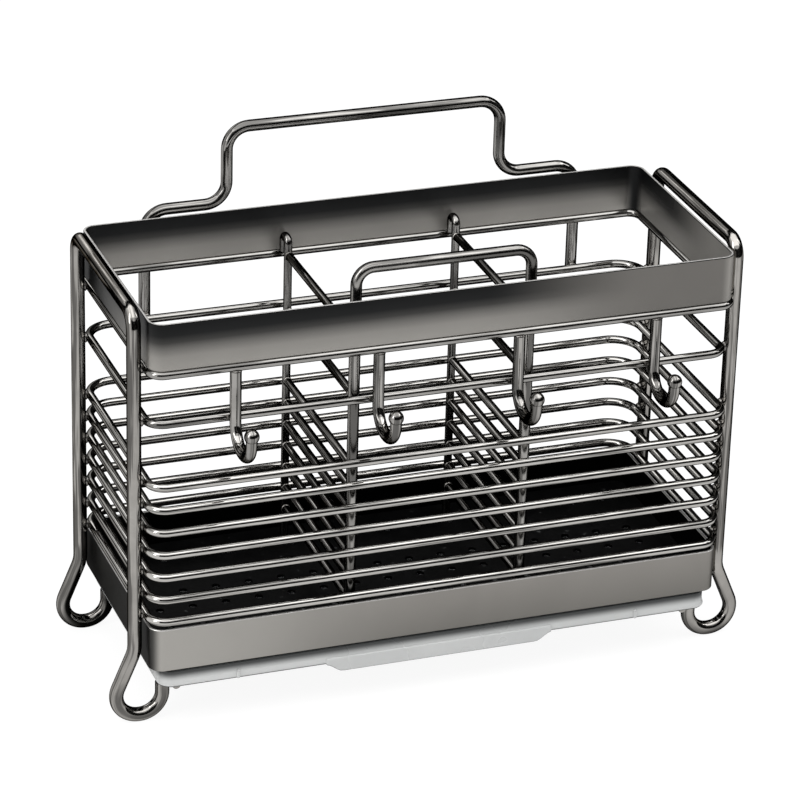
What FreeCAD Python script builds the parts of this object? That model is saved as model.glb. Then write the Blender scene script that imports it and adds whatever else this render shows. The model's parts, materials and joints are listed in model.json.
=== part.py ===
import FreeCAD, Part
import math
import os
import Sketcher

# Wire chopstick holder with a lift-out divider and a drip tray that slides out to the front.
# X runs along the basket, Y from front to back, Z up. The feet stand on Z = 0.

# Driving sizes in millimetres, and counts.
SIZES = [
    ("basket_length", 210, "outside length of both bands"),
    ("basket_depth", 88, "outside depth of both bands, front to back"),
    ("basket_height", 152.5, "top of the rim above the surface"),
    ("band_thickness", 1, "thickness of the band strip"),
    ("band_corner", 5, "outside corner radius of the bands"),
    ("top_band_height", 17, "height of the rim strip"),
    ("bottom_band_height", 16, "height of the strip round the floor"),
    ("bottom_band_base", 22.5, "lower edge of the bottom band above the surface"),
    ("ring_wire", 3, "diameter of the ring wires"),
    ("ring_front_corner", 6, "bend radius at the front of the lower rings"),
    ("ring_back_corner", 10, "bend radius at the back of the lower rings"),
    ("ring_pitch", 8.5, "spacing of the close rings"),
    ("ring_floor_gap", 1.3, "lowest ring above the bottom band"),
    ("close_ring_count", 7, "count of the close rings, above the bottom band"),
    ("ring_top_gap", 19.7, "second ring to first ring"),
    ("floor_thickness", 1, "thickness of the floor plate"),
    ("floor_lift", 1.5, "floor plate above the lower edge of the bottom band"),
    ("drain_hole", 3, "diameter of a drain hole"),
    ("drain_margin", 13, "outermost drain holes from the edge of the floor"),
    ("drain_columns", 16, "count of drain holes along the basket"),
    ("drain_rows", 6, "count of drain holes across the basket"),
    ("leg_wire", 5, "diameter of the leg wire"),
    ("leg_spacing", 70, "front leg to back leg"),
    ("leg_bend", 6, "bend radius at the top of a leg"),
    ("leg_bar_rise", 1, "bar of the leg frame above the top band"),
    ("foot_flare_height", 27.4, "corner where a leg flares outwards"),
    ("foot_flare_bend", 12, "bend radius of the flare"),
    ("foot_radius", 8, "bend radius of a foot loop"),
    ("foot_reach", 10.7, "outer corner of a foot loop from its leg"),
    ("foot_span", 20.5, "outer to inner corner of a foot loop"),
    ("foot_flat", 0.4, "depth of the flat worn under a foot"),
    ("handle_wire", 4.2, "diameter of the handle wire"),
    ("handle_post_spacing", 162, "left post to right post of the handle"),
    ("handle_grip_width", 102, "left upright to right upright of the grip"),
    ("handle_shoulder_rise", 1.5, "shoulder of the handle above the top band"),
    ("handle_rise", 28, "grip bar above the shoulders"),
    ("handle_bend", 8, "bend radius of the handle"),
    ("handle_post_tail", 2, "end of a handle post below the second ring"),
    ("hook_wire", 4, "diameter of a hook"),
    ("hook_count", 4, "count of hooks"),
    ("hook_end_inset", 29.25, "outer hooks from the ends of the band"),
    ("hook_radius", 8.5, "bend radius of a hook"),
    ("hook_run", 1, "straight run between a hook's two bends"),
    ("hook_tip_rise", 2.2, "middle of a hook's ball tip above the second ring"),
    ("hook_ball", 5.2, "diameter of a hook's ball tip"),
    ("divider_spacing", 63, "left divider to right divider"),
    ("loop_wire", 4, "diameter of the loop wire"),
    ("loop_rise", 8.5, "bar of the loop above the top band"),
    ("loop_bend", 6, "bend radius of the loop"),
    ("post_wire", 3, "diameter of a back post"),
    ("cane_rise", 8, "top of a cane above the first ring"),
    ("cane_reach", 4.8, "post to tip of a cane"),
    ("cane_bend", 2.2, "bend radius of a cane"),
    ("cross_wire", 3, "diameter of a wire across a divider"),
    ("cross_top_rise", 2, "uppermost cross wire above the first ring"),
    ("cross_drop", 5, "third cross wire below the third ring"),
    ("lower_cross_count", 7, "count of the cross wires spaced like the close rings"),
    ("weld_sink", 0.1, "depth that a welded wire end melts into its neighbour"),
    ("insert_gap", 0.3, "clearance round the lift-out divider"),
    ("tray_side_inset", 3, "end of the tray inside the end of the band"),
    ("tray_back_inset", 2, "back of the tray inside the back of the band"),
    ("tray_top_gap", 0.5, "rim of the tray under the bottom band"),
    ("tray_height", 6.6, "height of the tray"),
    ("tray_wall", 1.5, "wall and floor of the tray"),
    ("tray_corner", 6, "outside corner radius of the tray"),
    ("tray_clearance", 0.3, "tray above its runners"),
    ("grip_width", 72, "lower edge of the tray's grip"),
    ("grip_slope", 5, "run of the sloping step at each end of the grip"),
    ("grip_drop", 3, "grip below the tray"),
    ("grip_thickness", 2, "thickness of the grip"),
    ("rib_spacing", 148, "left rib to right rib on the tray's front"),
    ("rib_width", 1.2, "width of a rib"),
    ("rib_height", 3.6, "height of a rib"),
    ("rib_proud", 0.5, "rib in front of the tray"),
    ("runner_wire", 3, "diameter of a tray runner"),
    ("runner_overhang", 4, "end of a runner past a leg"),
    ("overrun", 10, "extra size of a cutting sketch"),
]

# Sizes and places that follow from the driving ones.
WORKED_OUT = [
    ("hook_reach", "2 * hook_radius + hook_run"),
    ("basket_y", "(hook_reach + hook_ball / 2 - ring_wire / 2 - handle_wire) / 2"),
    ("band_inner_length", "basket_length - 2 * band_thickness"),
    ("band_inner_depth", "basket_depth - 2 * band_thickness"),
    ("band_inner_corner", "band_corner - band_thickness"),
    ("rim_path_length", "basket_length - band_thickness"),
    ("rim_path_depth", "basket_depth - band_thickness"),
    ("rim_path_corner", "band_corner - band_thickness / 2"),
    ("front_inset", "(hook_wire + ring_wire) / 2"),
    ("hook_ring_depth", "rim_path_depth - front_inset"),
    ("hook_ring_y", "basket_y + front_inset / 2"),
    ("ring_lowest_z", "bottom_band_base + bottom_band_height + ring_floor_gap + ring_wire / 2"),
    ("ring_third_z", "ring_lowest_z + (close_ring_count - 1) * ring_pitch"),
    ("top_band_base", "basket_height - top_band_height"),
    ("ring_first_z", "top_band_base - ring_wire / 2"),
    ("ring_second_z", "ring_first_z - ring_top_gap"),
    ("floor_base", "bottom_band_base + floor_lift"),
    ("floor_top", "floor_base + floor_thickness"),
    ("drain_run", "band_inner_length - 2 * drain_margin"),
    ("drain_cross_run", "band_inner_depth - 2 * drain_margin"),
    ("tray_length", "basket_length - 2 * tray_side_inset"),
    ("tray_depth", "basket_depth - tray_back_inset"),
    ("tray_y", "basket_y - tray_back_inset / 2"),
    ("tray_base", "bottom_band_base - tray_top_gap - tray_height"),
    ("leg_x", "(rim_path_length + ring_wire + leg_wire) / 2"),
    ("leg_bar_z", "basket_height + leg_bar_rise"),
    ("foot_height", "foot_flare_height + foot_flare_bend"),
    ("foot_z", "leg_wire / 2 - foot_flat"),
    ("foot_inner", "foot_span - foot_reach"),
    ("runner_x", "leg_x - foot_inner - (leg_wire + runner_wire) / 2"),
    ("runner_z", "tray_base - tray_clearance - runner_wire / 2"),
    ("runner_length", "leg_spacing + 2 * runner_overhang"),
    ("handle_y", "basket_y + (rim_path_depth + ring_wire + handle_wire) / 2"),
    ("handle_foot_z", "ring_second_z - handle_post_tail"),
    ("handle_shoulder_z", "basket_height + handle_shoulder_rise"),
    ("handle_grip_z", "handle_shoulder_z + handle_rise"),
    ("hook_pitch", "(basket_length - 2 * hook_end_inset) / (hook_count - 1)"),
    ("hook_y", "basket_y - rim_path_depth / 2"),
    ("hook_top_z", "ring_first_z - ring_wire / 2"),
    ("hook_low_z", "ring_second_z - hook_radius"),
    ("hook_tip_z", "ring_second_z + hook_tip_rise"),
    ("loop_y", "hook_ring_y - hook_ring_depth / 2 + ring_wire / 2 + insert_gap + loop_wire / 2"),
    ("loop_top_z", "basket_height + loop_rise"),
    ("insert_base_z", "floor_top + insert_gap"),
    ("cane_tip_y", "basket_y + band_inner_depth / 2 - insert_gap - post_wire / 2"),
    ("post_y", "cane_tip_y - cane_reach"),
    ("cane_top_z", "ring_first_z + cane_rise"),
    ("cane_tip_z", "ring_first_z + ring_wire / 2 + insert_gap"),
    ("cross_y", "loop_y + loop_wire / 2 - weld_sink"),
    ("cross_length", "post_y - post_wire / 2 + weld_sink - cross_y"),
    ("cross_top_z", "ring_first_z + cross_top_rise"),
    ("cross_third_z", "ring_third_z - cross_drop"),
]

doc = FreeCAD.newDocument("ChopstickHolder")
sheet = doc.addObject("Spreadsheet::Sheet", "Sizes")
for row, (alias, value, note) in enumerate(SIZES, start=1):
    sheet.set(f"A{row}", note)
    sheet.set(f"B{row}", str(value))
    sheet.setAlias(f"B{row}", alias)
for row, (alias, formula) in enumerate(WORKED_OUT, start=len(SIZES) + 1):
    sheet.set(f"A{row}", alias.replace("_", " "))
    sheet.set(f"B{row}", "=" + formula)
    sheet.setAlias(f"B{row}", alias)
doc.recompute()

subparts = []


def new_body(label):
    """An empty body that becomes one node."""
    body = doc.addObject("PartDesign::Body", label)
    body.Label = label
    subparts.append(body)
    return body


def place(item, x="0", y="0", z="0"):
    """Ties a node's place to the sheet."""
    item.setExpression("Placement.Base.x", x)
    item.setExpression("Placement.Base.y", y)
    item.setExpression("Placement.Base.z", z)


def add_sketch(body, name, role, lift=None):
    """A sketch on one of the body's own planes, moved along that plane's normal."""
    sketch = body.newObject("Sketcher::SketchObject", f"{body.Name}_{name}")
    plane = next(item for item in body.Origin.OriginFeatures if item.Role == role)
    sketch.AttachmentSupport = [(plane, "")]
    sketch.MapMode = "FlatFace"
    if lift:
        sketch.setExpression("AttachmentOffset.Base.z", lift)
    return sketch


def tie(sketch, constraint, expression):
    """Adds a dimension to a sketch and binds it to the sheet."""
    index = sketch.addConstraint(constraint)
    sketch.setExpression(f"Constraints[{index}]", expression)


def pin_point(sketch, geometry, vertex, across, up):
    """Holds a point of a sketch at two distances from the sketch's origin."""
    for kind, expression in (("DistanceX", across), ("DistanceY", up)):
        value = float(sketch.evalExpression(expression))
        tie(sketch, Sketcher.Constraint(kind, -1, 1, geometry, vertex, value), expression)


def add_circle(sketch, across, up, diameter):
    """A circle for the section of a wire or for a hole."""
    centre = FreeCAD.Vector(float(sketch.evalExpression(across)), float(sketch.evalExpression(up)), 0)
    value = float(sketch.evalExpression(diameter))
    circle = Part.Circle(centre, FreeCAD.Vector(0, 0, 1), value / 2)
    index = sketch.addGeometry(circle, False)
    pin_point(sketch, index, 3, across, up)
    tie(sketch, Sketcher.Constraint("Diameter", index, value), diameter)


def add_bend(sketch, before, corner, after, radius):
    """The arc that rounds a corner: its index, whether it turns left, and its two ends."""
    arriving = (corner - before).normalize()
    leaving = (after - corner).normalize()
    turn = math.atan2(arriving.x * leaving.y - arriving.y * leaving.x, arriving.dot(leaving))
    setback = radius * math.tan(abs(turn) / 2)
    start = corner - arriving * setback
    end = corner + leaving * setback
    side = math.copysign(1, turn)
    centre = start + FreeCAD.Vector(-arriving.y, arriving.x, 0) * (radius * side)
    angles = [math.atan2(point.y - centre.y, point.x - centre.x) for point in (start, end)]
    if turn < 0:
        angles.reverse()
    circle = Part.Circle(centre, FreeCAD.Vector(0, 0, 1), radius)
    index = sketch.addGeometry(Part.ArcOfCircle(circle, *angles), False)
    return index, turn > 0, start, end


def add_bent_line(sketch, corners, radii, closed=False):
    """Straight runs through corners given in expressions, with a tangent arc at each corner."""
    points = [FreeCAD.Vector(float(sketch.evalExpression(u)), float(sketch.evalExpression(v)), 0)
              for u, v in corners]
    count = len(points)
    inner = range(count) if closed else range(1, count - 1)
    bends = {}
    for i in inner:
        radius = float(sketch.evalExpression(radii[i]))
        bends[i] = add_bend(sketch, points[i - 1], points[i], points[(i + 1) % count], radius)
    runs = []
    for i in range(count if closed else count - 1):
        j = (i + 1) % count
        start = bends[i][3] if i in bends else points[i]
        end = bends[j][2] if j in bends else points[j]
        runs.append(sketch.addGeometry(Part.LineSegment(start, end), False))
    for i in inner:
        arc, turns_left, start, end = bends[i]
        first, last = (1, 2) if turns_left else (2, 1)
        mark = sketch.addGeometry(Part.Point(points[i]), True)
        pin_point(sketch, mark, 1, *corners[i])
        sketch.addConstraint(Sketcher.Constraint("PointOnObject", mark, 1, runs[i - 1]))
        sketch.addConstraint(Sketcher.Constraint("PointOnObject", mark, 1, runs[i]))
        sketch.addConstraint(Sketcher.Constraint("Tangent", runs[i - 1], 2, arc, first))
        sketch.addConstraint(Sketcher.Constraint("Tangent", arc, last, runs[i], 1))
        radius = float(sketch.evalExpression(radii[i]))
        tie(sketch, Sketcher.Constraint("Radius", arc, radius), radii[i])
    if not closed:
        pin_point(sketch, runs[0], 1, *corners[0])
        pin_point(sketch, runs[-1], 2, *corners[-1])


def add_rounded_rectangle(sketch, length, depth, corner):
    """A closed outline about the sketch's origin, with equal corner radii."""
    right, back = f"{length} / 2", f"{depth} / 2"
    left, front = f"-{length} / 2", f"-{depth} / 2"
    corners = [(left, front), (right, front), (right, back), (left, back)]
    add_bent_line(sketch, corners, [corner] * len(corners), closed=True)


def add_polygon(sketch, corners):
    """A closed outline of straight edges through corners given in expressions."""
    points = [FreeCAD.Vector(float(sketch.evalExpression(u)), float(sketch.evalExpression(v)), 0)
              for u, v in corners]
    edges = [sketch.addGeometry(Part.LineSegment(points[i - 1], points[i]), False)
             for i in range(len(points))]
    for i, edge in enumerate(edges):
        following = edges[(i + 1) % len(edges)]
        sketch.addConstraint(Sketcher.Constraint("Coincident", edge, 2, following, 1))
        pin_point(sketch, edge, 2, *corners[i])


def add_pad(body, name, sketch, length, backwards=False):
    """Raises a sketch into a solid."""
    pad = body.newObject("PartDesign::Pad", f"{body.Name}_{name}")
    pad.Profile = sketch
    pad.setExpression("Length", length)
    pad.Reversed = backwards
    return pad


def add_pocket(body, name, sketch, depth):
    """Cuts a sketch down into the body."""
    pocket = body.newObject("PartDesign::Pocket", f"{body.Name}_{name}")
    pocket.Profile = sketch
    pocket.setExpression("Length", depth)
    return pocket


def add_pipe(body, name, profile, spine):
    """Sweeps a wire's section along its bent line."""
    pipe = body.newObject("PartDesign::AdditivePipe", f"{body.Name}_{name}")
    pipe.Profile = (profile, [""])
    pipe.Spine = (spine, [])
    return pipe


def make_band(label, height, base):
    """A flat strip bent into a ring with rounded corners."""
    body = new_body(label)
    outline = add_sketch(body, "outline", "XY_Plane")
    add_rounded_rectangle(outline, "Sizes.basket_length", "Sizes.basket_depth", "Sizes.band_corner")
    add_rounded_rectangle(outline, "Sizes.band_inner_length", "Sizes.band_inner_depth",
                          "Sizes.band_inner_corner")
    add_pad(body, "strip", outline, height)
    place(body, y="Sizes.basket_y", z=base)


def make_ring(label, depth, front_corner, back_corner, y, z):
    """A wire ring: it starts and ends in the middle of its front run."""
    body = new_body(label)
    half_length, half_depth = "Sizes.rim_path_length / 2", f"{depth} / 2"
    spine = add_sketch(body, "spine", "XY_Plane")
    corners = [
        ("0", f"-{half_depth}"),
        (half_length, f"-{half_depth}"),
        (half_length, half_depth),
        (f"-{half_length}", half_depth),
        (f"-{half_length}", f"-{half_depth}"),
        ("0", f"-{half_depth}"),
    ]
    bends = [front_corner, front_corner, back_corner, back_corner, front_corner, front_corner]
    add_bent_line(spine, corners, bends)
    section = add_sketch(body, "section", "YZ_Plane")
    add_circle(section, f"-{half_depth}", "0", "Sizes.ring_wire")
    add_pipe(body, "wire", section, spine)
    place(body, y=y, z=z)


def make_floor():
    """The drained plate inside the bottom band."""
    body = new_body("floor_plate")
    outline = add_sketch(body, "outline", "XY_Plane")
    add_rounded_rectangle(outline, "Sizes.band_inner_length", "Sizes.band_inner_depth",
                          "Sizes.band_inner_corner")
    add_pad(body, "plate", outline, "Sizes.floor_thickness")
    hole = add_sketch(body, "hole", "XY_Plane", "Sizes.floor_thickness")
    add_circle(hole, "-Sizes.drain_run / 2", "-Sizes.drain_cross_run / 2", "Sizes.drain_hole")
    drain = add_pocket(body, "drain", hole, "Sizes.floor_thickness")
    doc.recompute()
    grid = body.newObject("PartDesign::MultiTransform", "drain_grid")
    steps = []
    for name, axis, run, count in (("columns", "H_Axis", "drain_run", "drain_columns"),
                                   ("rows", "V_Axis", "drain_cross_run", "drain_rows")):
        step = doc.addObject("PartDesign::LinearPattern", f"drain_{name}")
        step.Direction = (hole, [axis])
        step.setExpression("Length", f"Sizes.{run}")
        step.setExpression("Occurrences", f"Sizes.{count}")
        steps.append(step)
    grid.Originals = [drain]
    grid.Transformations = steps
    body.Tip = grid
    place(body, y="Sizes.basket_y", z="Sizes.floor_base")


def make_leg_frame(label, side):
    """One thick wire: a bar, two legs and two foot loops with a flat under each."""
    body = new_body(label)
    half = "Sizes.leg_spacing / 2"
    bridge = add_sketch(body, "bridge", "YZ_Plane")
    corners = [
        (f"-{half}", "Sizes.foot_height"),
        (f"-{half}", "Sizes.leg_bar_z"),
        (half, "Sizes.leg_bar_z"),
        (half, "Sizes.foot_height"),
    ]
    add_bent_line(bridge, corners, ["Sizes.leg_bend"] * len(corners))
    bridge_section = add_sketch(body, "bridge_section", "XY_Plane", "Sizes.foot_height")
    add_circle(bridge_section, "0", f"-{half}", "Sizes.leg_wire")
    add_pipe(body, "bridge_wire", bridge_section, bridge)
    foot = add_sketch(body, "foot", "XZ_Plane", half)
    corners = [
        ("0", "Sizes.foot_height"),
        ("0", "Sizes.foot_flare_height"),
        ("Sizes.foot_reach", "Sizes.foot_z"),
        ("-Sizes.foot_inner", "Sizes.foot_z"),
        ("-Sizes.foot_inner", "Sizes.runner_z"),
    ]
    bends = ["Sizes.foot_radius"] * len(corners)
    bends[1] = "Sizes.foot_flare_bend"
    add_bent_line(foot, corners, bends)
    foot_section = add_sketch(body, "foot_section", "XY_Plane", "Sizes.foot_height")
    add_circle(foot_section, "0", f"-{half}", "Sizes.leg_wire")
    front_foot = add_pipe(body, "front_foot", foot_section, foot)
    doc.recompute()
    back_foot = body.newObject("PartDesign::Mirrored", f"{label}_back_foot")
    back_foot.Originals = [front_foot]
    mirror_plane = next(item for item in body.Origin.OriginFeatures if item.Role == "XZ_Plane")
    back_foot.MirrorPlane = (mirror_plane, [""])
    body.Tip = back_foot
    doc.recompute()
    ground = add_sketch(body, "ground", "XY_Plane")
    width, depth = "(Sizes.foot_span + Sizes.overrun)", f"({half} + Sizes.overrun)"
    left, front = f"-{width}", f"-{depth}"
    add_polygon(ground, [(left, front), (width, front), (width, depth), (left, depth)])
    add_pocket(body, "flats", ground, "Sizes.overrun")
    if side < 0:
        body.Placement = FreeCAD.Placement(FreeCAD.Vector(), FreeCAD.Rotation(180, 0, 0))
    place(body, x="Sizes.leg_x" if side > 0 else "-Sizes.leg_x", y="Sizes.basket_y")


def make_handle():
    """The hat-shaped wire behind the basket: posts, shoulders and a raised grip."""
    body = new_body("back_handle")
    post, grip = "Sizes.handle_post_spacing / 2", "Sizes.handle_grip_width / 2"
    spine = add_sketch(body, "spine", "XZ_Plane")
    corners = [
        (f"-{post}", "Sizes.handle_foot_z"),
        (f"-{post}", "Sizes.handle_shoulder_z"),
        (f"-{grip}", "Sizes.handle_shoulder_z"),
        (f"-{grip}", "Sizes.handle_grip_z"),
        (grip, "Sizes.handle_grip_z"),
        (grip, "Sizes.handle_shoulder_z"),
        (post, "Sizes.handle_shoulder_z"),
        (post, "Sizes.handle_foot_z"),
    ]
    add_bent_line(spine, corners, ["Sizes.handle_bend"] * len(corners))
    section = add_sketch(body, "section", "XY_Plane", "Sizes.handle_foot_z")
    add_circle(section, f"-{post}", "0", "Sizes.handle_wire")
    add_pipe(body, "wire", section, spine)
    place(body, y="Sizes.handle_y")


def make_hook(number):
    """A J hook welded under the first ring and against the second, with a ball on its tip."""
    body = new_body(f"hook_{number}")
    spine = add_sketch(body, "spine", "YZ_Plane")
    corners = [
        ("0", "Sizes.hook_top_z"),
        ("0", "Sizes.hook_low_z"),
        ("-Sizes.hook_reach", "Sizes.hook_low_z"),
        ("-Sizes.hook_reach", "Sizes.hook_tip_z"),
    ]
    add_bent_line(spine, corners, ["Sizes.hook_radius"] * len(corners))
    section = add_sketch(body, "section", "XY_Plane", "Sizes.hook_top_z")
    add_circle(section, "0", "0", "Sizes.hook_wire")
    add_pipe(body, "wire", section, spine)
    ball = body.newObject("PartDesign::AdditiveSphere", f"hook_{number}_ball")
    ground = next(item for item in body.Origin.OriginFeatures if item.Role == "XY_Plane")
    ball.AttachmentSupport = [(ground, "")]
    ball.MapMode = "FlatFace"
    ball.setExpression("Radius", "Sizes.hook_ball / 2")
    ball.setExpression("AttachmentOffset.Base.y", "-Sizes.hook_reach")
    ball.setExpression("AttachmentOffset.Base.z", "Sizes.hook_tip_z")
    offset = f"({number} - (Sizes.hook_count + 1) / 2)"
    place(body, x=f"{offset} * Sizes.hook_pitch", y="Sizes.hook_y")


def make_divider_loop():
    """The pull loop at the front of the insert; its legs are the front posts of the dividers."""
    body = new_body("divider_loop")
    half = "Sizes.divider_spacing / 2"
    spine = add_sketch(body, "spine", "XZ_Plane")
    corners = [
        (f"-{half}", "Sizes.insert_base_z"),
        (f"-{half}", "Sizes.loop_top_z"),
        (half, "Sizes.loop_top_z"),
        (half, "Sizes.insert_base_z"),
    ]
    add_bent_line(spine, corners, ["Sizes.loop_bend"] * len(corners))
    section = add_sketch(body, "section", "XY_Plane", "Sizes.insert_base_z")
    add_circle(section, f"-{half}", "0", "Sizes.loop_wire")
    add_pipe(body, "wire", section, spine)
    place(body, y="Sizes.loop_y")


def make_divider_post(label, x):
    """A back post whose cane top bends over towards the back band."""
    body = new_body(label)
    spine = add_sketch(body, "spine", "YZ_Plane")
    corners = [
        ("0", "Sizes.insert_base_z"),
        ("0", "Sizes.cane_top_z"),
        ("Sizes.cane_reach", "Sizes.cane_top_z"),
        ("Sizes.cane_reach", "Sizes.cane_tip_z"),
    ]
    add_bent_line(spine, corners, ["Sizes.cane_bend"] * len(corners))
    section = add_sketch(body, "section", "XY_Plane", "Sizes.insert_base_z")
    add_circle(section, "0", "0", "Sizes.post_wire")
    add_pipe(body, "wire", section, spine)
    place(body, x=x, y="Sizes.post_y")


def make_straight_wire(label, diameter, length, x, y, z):
    """A straight wire that runs from front to back."""
    wire = doc.addObject("Part::Cylinder", label)
    wire.Label = label
    wire.setExpression("Radius", f"{diameter} / 2")
    wire.setExpression("Height", length)
    wire.Placement = FreeCAD.Placement(FreeCAD.Vector(), FreeCAD.Rotation(FreeCAD.Vector(1, 0, 0), -90))
    place(wire, x, y, z)
    subparts.append(wire)


def make_tray():
    """The drip tray: a shallow box with a deeper grip and two short ribs on its front."""
    body = new_body("drip_tray")
    outline = add_sketch(body, "outline", "XY_Plane")
    add_rounded_rectangle(outline, "Sizes.tray_length", "Sizes.tray_depth", "Sizes.tray_corner")
    add_pad(body, "block", outline, "Sizes.tray_height")
    hollow = add_sketch(body, "hollow", "XY_Plane", "Sizes.tray_height")
    add_rounded_rectangle(hollow, "(Sizes.tray_length - 2 * Sizes.tray_wall)",
                          "(Sizes.tray_depth - 2 * Sizes.tray_wall)",
                          "Sizes.tray_corner - Sizes.tray_wall")
    add_pocket(body, "basin", hollow, "Sizes.tray_height - Sizes.tray_wall")
    grip = add_sketch(body, "grip", "XZ_Plane", "Sizes.tray_depth / 2")
    low, high = "Sizes.grip_width / 2", "(Sizes.grip_width / 2 + Sizes.grip_slope)"
    add_polygon(grip, [
        (f"-{high}", "Sizes.tray_wall"),
        (f"-{high}", "0"),
        (f"-{low}", "-Sizes.grip_drop"),
        (low, "-Sizes.grip_drop"),
        (high, "0"),
        (high, "Sizes.tray_wall"),
    ])
    add_pad(body, "grip_plate", grip, "Sizes.grip_thickness", backwards=True)
    ribs = add_sketch(body, "ribs", "XZ_Plane", "Sizes.tray_depth / 2 - Sizes.tray_wall")
    for side in ("-", ""):
        middle = f"{side}Sizes.rib_spacing / 2"
        left, right = f"{middle} - Sizes.rib_width / 2", f"{middle} + Sizes.rib_width / 2"
        top = "Sizes.rib_height"
        add_polygon(ribs, [(left, "0"), (right, "0"), (right, top), (left, top)])
    add_pad(body, "rib_pair", ribs, "Sizes.tray_wall + Sizes.rib_proud")
    place(body, y="Sizes.tray_y", z="Sizes.tray_base")


make_band("top_band", "Sizes.top_band_height", "Sizes.top_band_base")
make_ring("ring_wire_1", "Sizes.rim_path_depth", "Sizes.rim_path_corner", "Sizes.rim_path_corner",
          "Sizes.basket_y", "Sizes.ring_first_z")
make_ring("ring_wire_2", "Sizes.hook_ring_depth", "Sizes.ring_front_corner", "Sizes.ring_back_corner",
          "Sizes.hook_ring_y", "Sizes.ring_second_z")
for step in range(int(sheet.get("close_ring_count"))):
    make_ring(f"ring_wire_{step + 3}", "Sizes.rim_path_depth", "Sizes.ring_front_corner",
              "Sizes.ring_back_corner", "Sizes.basket_y",
              f"Sizes.ring_third_z - {step} * Sizes.ring_pitch")
make_band("bottom_band", "Sizes.bottom_band_height", "Sizes.bottom_band_base")
make_floor()
make_leg_frame("leg_frame_left", -1)
make_leg_frame("leg_frame_right", 1)
make_handle()
for number in range(1, int(sheet.get("hook_count")) + 1):
    make_hook(number)
make_divider_loop()
for name, sign in (("left", "-"), ("right", "")):
    divider_x = f"{sign}Sizes.divider_spacing / 2"
    make_divider_post(f"divider_post_{name}", divider_x)
    levels = ["Sizes.cross_top_z", "Sizes.ring_second_z"]
    for step in range(int(sheet.get("lower_cross_count"))):
        levels.append(f"Sizes.cross_third_z - {step} * Sizes.ring_pitch")
    for number, level in enumerate(levels, start=1):
        make_straight_wire(f"divider_wire_{name}_{number}", "Sizes.cross_wire", "Sizes.cross_length",
                           divider_x, "Sizes.cross_y", level)
make_tray()
for name, sign in (("left", "-"), ("right", "")):
    make_straight_wire(f"tray_runner_{name}", "Sizes.runner_wire", "Sizes.runner_length",
                       f"{sign}Sizes.runner_x", "Sizes.basket_y - Sizes.runner_length / 2", "Sizes.runner_z")
doc.recompute()

for item in doc.Objects:
    if "Invalid" in item.State or "Error" in item.State:
        raise RuntimeError(f"{item.Label} failed: {item.State}")
for item in subparts:
    if item.Shape.isNull() or not item.Shape.isValid() or len(item.Shape.Solids) != 1:
        raise RuntimeError(f"{item.Label} has no valid single solid")

os.makedirs("parts", exist_ok=True)
for item in subparts:
    item.Shape.exportStep(f"parts/{item.Label}.step")
    print(item.Label, round(item.Shape.Volume, 1))
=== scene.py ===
import json
import math

import bpy
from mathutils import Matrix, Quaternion, Vector


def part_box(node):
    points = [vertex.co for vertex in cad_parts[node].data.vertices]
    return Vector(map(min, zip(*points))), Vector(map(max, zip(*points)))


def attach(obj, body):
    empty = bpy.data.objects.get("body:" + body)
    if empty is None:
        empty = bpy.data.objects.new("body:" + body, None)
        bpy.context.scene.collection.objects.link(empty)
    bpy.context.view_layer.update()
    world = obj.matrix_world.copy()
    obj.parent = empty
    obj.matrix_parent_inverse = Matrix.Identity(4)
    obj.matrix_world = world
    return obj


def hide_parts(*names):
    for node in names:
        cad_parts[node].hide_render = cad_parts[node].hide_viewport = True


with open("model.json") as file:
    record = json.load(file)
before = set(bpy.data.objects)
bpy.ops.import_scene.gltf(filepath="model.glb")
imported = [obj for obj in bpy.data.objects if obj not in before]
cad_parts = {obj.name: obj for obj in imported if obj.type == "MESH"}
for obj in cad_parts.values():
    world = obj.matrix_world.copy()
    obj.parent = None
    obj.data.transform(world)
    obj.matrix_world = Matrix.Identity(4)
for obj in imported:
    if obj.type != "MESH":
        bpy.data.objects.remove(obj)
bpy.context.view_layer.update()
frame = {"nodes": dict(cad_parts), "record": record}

# Rim band: a flat strip of satin stainless steel, the rim of the basket.
# The strip is bent into a ring with rounded corners, butt welded at the back and eased at its edges.
# Its colour is painted reflection and shade: dark at the top and lighter downwards,
# a painted lighter patch on the right of the front, a painted highlight on the right end,
# and painted shade on the left end and at the back bends.
band_thickness = 0.001
band_corner = 0.005
band_corner_facets = 12
band_edge_round = 0.00032
band_edge_facets = 3
band_edge_angle = math.radians(50)
upright_tolerance = 0.000001
seam_width = 0.0014
seam_proud = 0.0003
seam_facets = 2
belt_lines = (45.0, 45.0, 5200.0)
belt_line_limits = (0.3, 0.7)
belt_line_share = 0.3
belt_bump_strength = 0.08
belt_bump_depth = 0.0001
band_blotches = 38.0
band_roughness = (0.3, 0.4)
eased_shares = (1.2, 0.9)
flat_top_limits = (0.8, 0.97)
MID_GREY = (0.5, 0.5, 0.5, 1)
PAINTED_EDGE_HIGHLIGHT = (0.62, 0.61, 0.594, 1)
BAND_GLINT = (0.35, 0.35, 0.35, 1)


def add_block(name, low, high):
    """A block between two corners, with its place in its mesh."""
    bpy.ops.object.select_all(action="DESELECT")
    bpy.ops.mesh.primitive_cube_add(size=1, location=(low + high) / 2, scale=high - low)
    block = bpy.context.active_object
    block.name = name
    block.data.name = name
    bpy.ops.object.transform_apply(location=True, rotation=True, scale=True)
    return block


def pick(piece, kind, wanted):
    """Opens a piece in edit mode with only the wanted faces or edges selected."""
    bpy.ops.object.mode_set(mode="EDIT")
    bpy.ops.mesh.select_mode(type=kind)
    bpy.ops.mesh.select_all(action="DESELECT")
    bpy.ops.object.mode_set(mode="OBJECT")
    for item in piece.data.polygons if kind == "FACE" else piece.data.edges:
        item.select = wanted(item)
    bpy.ops.object.mode_set(mode="EDIT")


def is_upright(piece, edge):
    """True for an edge that runs straight up."""
    start, end = (piece.data.vertices[index].co for index in edge.vertices)
    return (end - start).to_2d().length < upright_tolerance


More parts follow.
